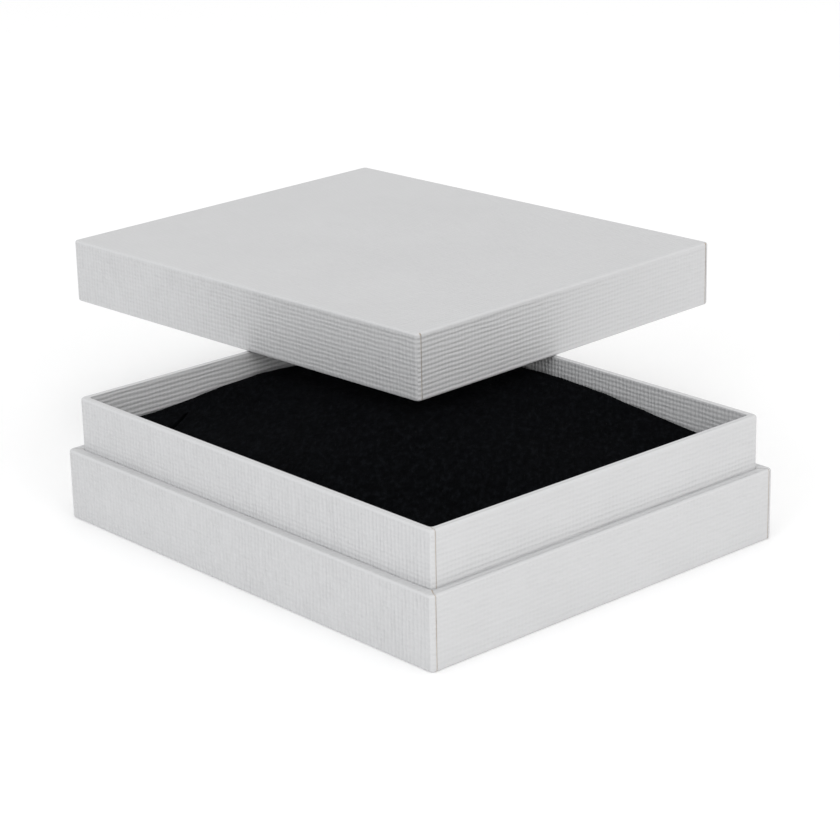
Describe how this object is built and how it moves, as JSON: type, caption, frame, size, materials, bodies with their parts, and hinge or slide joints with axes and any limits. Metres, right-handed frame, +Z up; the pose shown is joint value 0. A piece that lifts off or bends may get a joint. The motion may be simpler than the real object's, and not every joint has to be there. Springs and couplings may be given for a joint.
{
  "type": "jewelry gift box",
  "caption": "Rigid paper-covered gift box for a necklace: base tray with a standing neck, black velvet pad with chain slits, and lift-off lid.",
  "frame": {"origin": "centre of the base's underside", "axes": "+X across the box's width, +Y along its depth towards the parked lid, +Z up out of the open tray"},
  "size_m": [0.1213, 0.1475, 0.0352],
  "materials": {
    "linen_paper_white": "matte",
    "greyboard": "matte",
    "gummed_paper": "matte",
    "lining_paper_white": "matte",
    "velvet_black": "matte",
    "foam_black": "matte"
  },
  "bodies": {
    "base": {"base_wrap": "linen_paper_white", "base_board": "greyboard", "base_corner_stays": "gummed_paper", "base_lining": "lining_paper_white", "neck_board": "greyboard", "neck_seam_tape": "gummed_paper", "neck_wrap": "linen_paper_white"},
    "insert": {"insert_card": "greyboard", "insert_foam": "foam_black", "insert_velvet": "velvet_black"},
    "lid": {"lid_wrap": "linen_paper_white", "lid_board": "greyboard", "lid_corner_stays": "gummed_paper", "lid_lining": "lining_paper_white"}
  },
  "joints": [
    {"name": "lid_lift", "type": "slide", "parent": "base", "child": "lid", "axis": [0, 0, 1], "range_m": [0, 0.06]},
    {"name": "insert_lift", "type": "slide", "parent": "base", "child": "insert", "axis": [0, 0, 1], "range_m": [0, 0.03]}
  ],
  "couplings": [
    {"joint": "insert_lift", "follows": "lid_lift", "ratio": 0.5}
  ]
}
